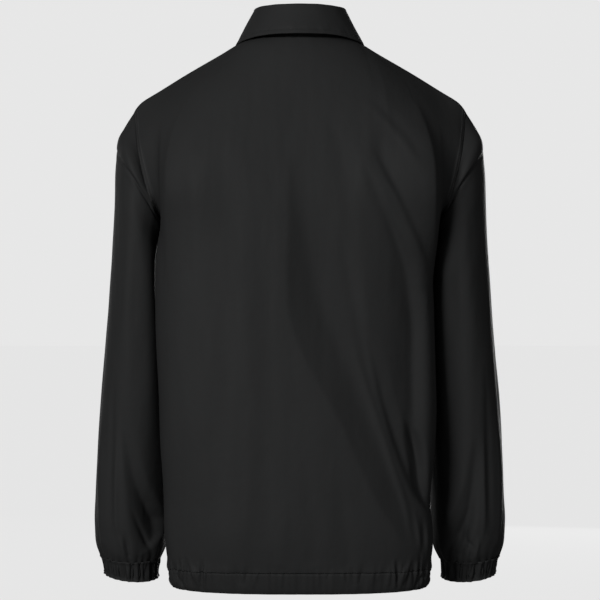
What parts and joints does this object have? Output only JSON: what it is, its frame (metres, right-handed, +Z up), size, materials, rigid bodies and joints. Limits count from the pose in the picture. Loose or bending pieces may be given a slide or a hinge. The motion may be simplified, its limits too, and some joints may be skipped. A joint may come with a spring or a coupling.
{
  "type": "windbreaker",
  "caption": "Hip-length windbreaker in thin black cloth, hollow as worn: lapped snap front, turned-down collar, set-in sleeves, gathered elastic cuffs and hem casing.",
  "frame": {"origin": "middle of the neck opening, level with the tops of the shoulders, where the wearer's shoulders hold the jacket", "axes": "+Z up, +Y towards the wearer's back, +X towards the wearer's left"},
  "size_m": [0.5504, 0.2598, 0.7741],
  "materials": {
    "shell_cloth": "black plain-weave nylon with a soft sheen",
    "gathered_cloth": "the same nylon, doubled and gathered on elastic",
    "snap_cap": "black enamelled cap"
  },
  "bodies": {
    "root": {"back_panel": "shell_cloth", "front_left": "shell_cloth", "front_right": "shell_cloth", "sleeve_left": "shell_cloth", "sleeve_right": "shell_cloth", "collar_stand": "shell_cloth", "collar_fall": "shell_cloth", "cuff_left": "gathered_cloth", "cuff_right": "gathered_cloth", "hem_back": "gathered_cloth", "hem_left": "gathered_cloth", "hem_right": "gathered_cloth", "snap_1": "snap_cap", "snap_2": "snap_cap", "snap_3": "snap_cap", "snap_4": "snap_cap", "snap_5": "snap_cap"}
  },
  "joints": []
}
